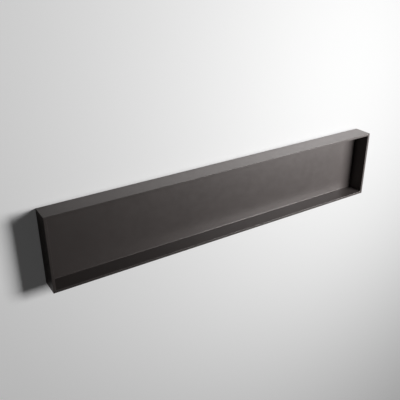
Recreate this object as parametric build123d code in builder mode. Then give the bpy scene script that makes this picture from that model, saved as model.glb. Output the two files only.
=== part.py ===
from build123d import *
import os

# A shower niche insert: one shallow, seamless box of cast mineral solid surface, open at the front.
# Its plain flat back goes against the wall or the bottom of a recess, and its floor is a shelf for bottles.
# The origin is the centre of the back face. X runs along the length, +Z is up, and the open front faces -Y.

# Driving dimensions, in millimetres
LENGTH = 1495.0        # outside, from end to end along X
HEIGHT = 295.0         # outside, from the underside to the top along Z
DEPTH = 80.0           # outside, from the back face to the front rim along Y
END_WALL = 10.0        # left and right end walls
TOP_WALL = 10.0        # wall over the niche
FLOOR = 10.0           # wall under the niche, which carries what stands in it
BACK = 10.0            # back panel
INNER_RADIUS = 2.0     # cleanable round in every inside corner
EDGE_ROUND = 1.0       # sanded round on every outside edge
MOUTH_ROUND = 1.0      # sanded round where the front rim turns into the niche

# Sizes that follow from them
niche_length = LENGTH - 2 * END_WALL
niche_height = HEIGHT - TOP_WALL - FLOOR
niche_depth = DEPTH - BACK
niche_centre_z = (FLOOR - TOP_WALL) / 2

with BuildPart() as niche_insert:
    # The outer block stands forward of the wall plane, with all its edges eased
    with BuildSketch(Plane.XZ):
        Rectangle(LENGTH, HEIGHT)
    extrude(amount=DEPTH)
    fillet(niche_insert.edges(), radius=EDGE_ROUND)

    # The niche is sunk into the block from the front, down to the back panel
    with BuildSketch(Plane.XZ.offset(BACK)):
        with Locations((0, niche_centre_z)):
            Rectangle(niche_length, niche_height)
    extrude(amount=niche_depth, mode=Mode.SUBTRACT)

    # Inside corners: every new edge apart from the mouth, so the four along the depth and the panel's loop
    niche_edges = niche_insert.edges(Select.LAST)
    mouth_edges = niche_edges.group_by(Axis.Y)[0]
    fillet(niche_edges - mouth_edges, radius=INNER_RADIUS)

    # Mouth of the niche: the inner edge loop of the front rim
    front_rim = niche_insert.faces().sort_by(Axis.Y).first
    fillet(front_rim.inner_wires().edges(), radius=MOUTH_ROUND)

niche_insert.part.label = "niche_insert"

os.makedirs("parts", exist_ok=True)
export_step(niche_insert.part, "parts/niche_insert.step")
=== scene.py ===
import math
import bpy
from mathutils import Euler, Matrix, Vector

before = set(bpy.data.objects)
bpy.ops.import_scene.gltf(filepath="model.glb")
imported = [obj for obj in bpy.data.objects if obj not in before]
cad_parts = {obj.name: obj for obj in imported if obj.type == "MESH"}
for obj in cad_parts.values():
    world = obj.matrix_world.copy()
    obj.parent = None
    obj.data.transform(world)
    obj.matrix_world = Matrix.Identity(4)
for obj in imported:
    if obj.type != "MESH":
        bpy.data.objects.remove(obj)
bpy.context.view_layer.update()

# A shower niche insert of matt dark solid surface, hung on a pale wall
# Metres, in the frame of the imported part: X along the length, Z up, the wall at Y = 0, the front towards -Y

# Camera: a 50 mm lens in front of the niche, to its left and above
LENS_MM = 50.0
SENSOR_MM = 36.0
CAMERA_PLACE = (-1.1597, -1.6682, 0.9873)
CAMERA_TILT_DEG = (63.597, 0.0, -32.343)

# Wall: the part's back stands proud of its far side by the inset, so the lamp behind the wall reaches it
WALL_INSET = 0.0005
WALL_HALF_SIZE = 8.0
# What the camera sees of the wall: its paint's tone, painted shade darkest where the key's light pools, the
# level that a glow helps it to, and a glow all over
WALL_TONE = dict(foot=(2.821, 0.0, 0.618), distance=1.828, power=1.5, level=0.078)
WALL_SHOWN = 0.55
WALL_GLOW = 0.033
# What all other rays meet: a slightly warm paint, palest in the middle, a painted pool of warm light that the
# part reflects and gets as bounce
WALL_BOUNCE = dict(centre=(-0.05, 0.0, 0.0), far=1.15, start=0.95, end=0.282)
WALL_BOUNCE_TINT = (1.0, 0.975, 0.967)

# Finish of the part, with noise scales in waves per metre
BODY_COLOUR = (0.0388, 0.0333, 0.0318)
BODY_IOR = 1.561
BODY_SHEEN_TINT = (1.0, 0.945, 0.932)
CLOUDING = dict(scale=9.0, detail=3.0, low=0.96, high=1.04)
GRAIN = dict(scale=1300.0, detail=2.0, low=0.83, high=1.17)
ROUGHNESS = dict(scale=40.0, detail=4.0, low=0.368, high=0.408)
SANDING = dict(scale=1700.0, detail=3.0, low=0.0, high=1.0)
SANDING_STRENGTH = 0.4
SANDING_DEPTH = 0.00003
NOISE_LOW = 0.3
NOISE_HIGH = 0.7

# Light: a large key on the right, a weak fill on the left, and a lamp behind the wall
KEY_PLACE = (1.793, -1.796, 0.49)
KEY_YAW_DEG = 8.8
KEY_PITCH_DEG = 5.5
KEY_SIZE = (1.964, 1.146)
KEY_WATTS = 209.0
FILL_PLACE = (-2.6, -3.2, 0.3)
FILL_YAW_DEG = 39.0
FILL_PITCH_DEG = -4.0
FILL_SIZE = (2.4, 2.0)
FILL_WATTS = 2.35
REAR_PLACE = (-1.5, 2.2, 1.3)
REAR_SIZE = (1.6, 1.2)
REAR_WATTS = 200.0
BACKDROP_COLOUR = (0.58, 0.58, 0.58)
WORLD_LIGHT = 0.01


class Nodes:
    """The emptied node tree of a material or world, with short ways to add to it."""

    def __init__(self, owner):
        owner.use_nodes = True
        self.tree = owner.node_tree
        self.tree.nodes.clear()

    def add(self, kind, **settings):
        """A new node of one kind, with its settings."""
        node = self.tree.nodes.new("ShaderNode" + kind)
        for name, value in settings.items():
            setattr(node, name, value)
        return node

    def put(self, value, socket):
        """Links a socket to another node's output, or sets it to a plain value."""
        if isinstance(value, bpy.types.NodeSocket):
            self.tree.links.new(value, socket)
        else:
            socket.default_value = value

    def math(self, operation, *values):
        """One operation on outputs and plain numbers."""
        node = self.add("Math", operation=operation)
        for socket, value in zip(node.inputs, values):
            self.put(value, socket)
        return node.outputs["Value"]

    def scaled(self, colour, factor):
        """A colour times a factor."""
        node = self.add("VectorMath", operation="SCALE")
        self.put(colour, node.inputs[0])
        self.put(factor, node.inputs["Scale"])
        return node.outputs["Vector"]

    def spread(self, value, from_low, from_high, low, high):
        """A value's range mapped to the range low to high, and held there past its ends."""
        node = self.add("MapRange")
        self.put(value, node.inputs["Value"])
        self.put(from_low, node.inputs["From Min"])
        self.put(from_high, node.inputs["From Max"])
        self.put(low, node.inputs["To Min"])
        self.put(high, node.inputs["To Max"])
        return node.outputs["Result"]

    def place(self):
        """The place on the object, in its own metres."""
        return self.add("TexCoord").outputs["Object"]

    def noise(self, scale, detail, low, high):
        """Noise of one scale, spread over the range low to high."""
        texture = self.add("TexNoise")
        self.put(self.place(), texture.inputs["Vector"])
        self.put(scale, texture.inputs["Scale"])
        self.put(detail, texture.inputs["Detail"])
        return self.spread(texture.outputs["Fac"], NOISE_LOW, NOISE_HIGH, low, high)

    def square_of_distance(self, centre):
        """The distance from a point, squared."""
        gap = self.add("VectorMath", operation="DISTANCE")
        self.put(self.place(), gap.inputs[0])
        self.put(centre, gap.inputs[1])
        return self.math("MULTIPLY", gap.outputs["Value"], gap.outputs["Value"])

    def mix(self, factor, first, second):
        """One shader where the factor is 0, and another where it is 1."""
        node = self.add("MixShader")
        self.put(factor, node.inputs["Fac"])
        self.put(first, node.inputs[1])
        self.put(second, node.inputs[2])
        return node.outputs["Shader"]

    def diffuse(self, colour):
        """A matt shader."""
        node = self.add("BsdfDiffuse")
        self.put(colour, node.inputs["Color"])
        return node.outputs["BSDF"]


def solid_surface():
    """Matt mineral-filled sheet: a dark warm grey with faint clouding, a fine grain and a sanded skin."""
    material = bpy.data.materials.new("sanded_solid_surface")
    nodes = Nodes(material)
    shader = nodes.add("BsdfPrincipled")
    shader.inputs["IOR"].default_value = BODY_IOR
    shader.inputs["Specular Tint"].default_value = (*BODY_SHEEN_TINT, 1.0)
    tone = nodes.math("MULTIPLY", nodes.noise(**CLOUDING), nodes.noise(**GRAIN))
    nodes.put(nodes.scaled(BODY_COLOUR, tone), shader.inputs["Base Color"])
    nodes.put(nodes.noise(**ROUGHNESS), shader.inputs["Roughness"])
    bump = nodes.add("Bump")
    bump.inputs["Strength"].default_value = SANDING_STRENGTH
    bump.inputs["Distance"].default_value = SANDING_DEPTH
    nodes.put(nodes.noise(**SANDING), bump.inputs["Height"])
    nodes.put(bump.outputs["Normal"], shader.inputs["Normal"])
    nodes.put(shader.outputs["BSDF"], nodes.add("OutputMaterial").inputs["Surface"])
    return material


def even_tone(nodes, foot, distance, power, level):
    """How pale the wall's paint has to be, with white as 1, to make up for the fall-off of the key's light:
    it grows by (1 + (r / distance) ** 2) ** power at r from a foot on the wall."""
    loss = nodes.math("MULTIPLY_ADD", nodes.square_of_distance(foot), distance ** -2, 1.0)
    return nodes.math("MULTIPLY", nodes.math("POWER", loss, power), level)


def shown_paint(nodes):
    """The wall as the camera sees it: paint of an even look, which is painted shade, darkest where the key's
    light pools, with a glow where white paint falls short and a weak glow all over, which lifts the shadow a
    little."""
    # painted shade: the paint is darkest where the key's light pools, so the wall looks evenly lit
    tone = even_tone(nodes, **WALL_TONE)
    reached = nodes.math("DIVIDE", 1.0, nodes.math("MAXIMUM", tone, 1.0))
    glow = nodes.add("Emission")
    strength = nodes.math("MULTIPLY_ADD", reached, -WALL_SHOWN, WALL_SHOWN + WALL_GLOW)
    nodes.put(strength, glow.inputs["Strength"])
    both = nodes.add("AddShader")
    nodes.put(nodes.diffuse(nodes.math("MINIMUM", tone, 1.0)), both.inputs[0])
    nodes.put(glow.outputs["Emission"], both.inputs[1])
    return both.outputs["Shader"]


def bounce_paint(nodes, centre, far, start, end):
    """The wall as other rays meet it: paler round a point and darker with the distance squared, and warm: a
    painted pool of warm light that the part reflects and gets as bounce, while the camera sees the wall
    neutral.
    """
    # painted pool of light: paler near the part, so the part reflects and gets more light there
    tone = nodes.spread(nodes.square_of_distance(centre), 0.0, far ** 2, start, end)
    return nodes.diffuse(nodes.scaled(WALL_BOUNCE_TINT, tone))


def wall_paint():
    """Pale matt paint, with painted shade for the camera and a painted pool of warm light for other rays,
    which the camera looks through from behind.
    """
    material = bpy.data.materials.new("wall_paint")
    nodes = Nodes(material)
    camera_ray = nodes.add("LightPath").outputs["Is Camera Ray"]
    front = nodes.mix(camera_ray, bounce_paint(nodes, **WALL_BOUNCE), shown_paint(nodes))
    behind = nodes.math("MULTIPLY", camera_ray, nodes.add("NewGeometry").outputs["Backfacing"])
    clear = nodes.add("BsdfTransparent").outputs["BSDF"]
    nodes.put(nodes.mix(behind, front, clear), nodes.add("OutputMaterial").inputs["Surface"])
    return material


def stage():
    """The wall, facing the room."""
    half = WALL_HALF_SIZE
    corners = [(x, -WALL_INSET, z) for x, z in ((-half, -half), (half, -half), (half, half), (-half, half))]
    mesh = bpy.data.meshes.new("wall")
    mesh.from_pydata(corners, [], [(0, 1, 2, 3)])
    mesh.materials.append(wall_paint())
    wall = bpy.data.objects.new("wall", mesh)
    bpy.context.scene.collection.objects.link(wall)


def softbox(name, place, direction, size, watts):
    """A rectangular lamp that the camera doesn't see."""
    data = bpy.data.lights.new(name, "AREA")
    data.shape = "RECTANGLE"
    data.size, data.size_y = size
    data.energy = watts
    lamp = bpy.data.objects.new(name, data)
    lamp.location = place
    lamp.rotation_euler = Vector(direction).to_track_quat("-Z", "Y").to_euler()
    lamp.visible_camera = False
    bpy.context.scene.collection.objects.link(lamp)


def aim(yaw_deg, pitch_deg):
    """The direction that turns yaw from +Y, straight at the wall, towards +X, and pitch upwards."""
    yaw, pitch = math.radians(yaw_deg), math.radians(pitch_deg)
    return (math.sin(yaw) * math.cos(pitch), math.cos(yaw) * math.cos(pitch), math.sin(pitch))


def lamps():
    """A large soft key on the right, a weak fill from the left, and a lamp behind the wall for rear views."""
    softbox("key", KEY_PLACE, aim(KEY_YAW_DEG, KEY_PITCH_DEG), KEY_SIZE, KEY_WATTS)
    softbox("fill", FILL_PLACE, aim(FILL_YAW_DEG, FILL_PITCH_DEG), FILL_SIZE, FILL_WATTS)
    softbox("rear", REAR_PLACE, -Vector(REAR_PLACE), REAR_SIZE, REAR_WATTS)


def room():
    """A plain grey backdrop for the camera, which lights the part only faintly."""
    world = bpy.data.worlds.new("room")
    nodes = Nodes(world)
    background = nodes.add("Background")
    background.inputs["Color"].default_value = (*BACKDROP_COLOUR, 1.0)
    camera_ray = nodes.add("LightPath").outputs["Is Camera Ray"]
    nodes.put(nodes.spread(camera_ray, 0.0, 1.0, WORLD_LIGHT, 1.0), background.inputs["Strength"])
    nodes.put(background.outputs["Background"], nodes.add("OutputWorld").inputs["Surface"])
    bpy.context.scene.world = world


def camera():
    """The photograph's view."""
    data = bpy.data.cameras.new("camera")
    data.lens = LENS_MM
    data.sensor_width = SENSOR_MM
    view = bpy.data.objects.new("camera", data)
    view.location = CAMERA_PLACE
    view.rotation_euler = Euler([math.radians(angle) for angle in CAMERA_TILT_DEG], "XYZ")
    bpy.context.scene.collection.objects.link(view)
    bpy.context.scene.camera = view


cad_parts["niche_insert"].material_slots[0].material = solid_surface()
stage()
lamps()
room()
camera()
bpy.context.scene.view_settings.view_transform = "Standard"
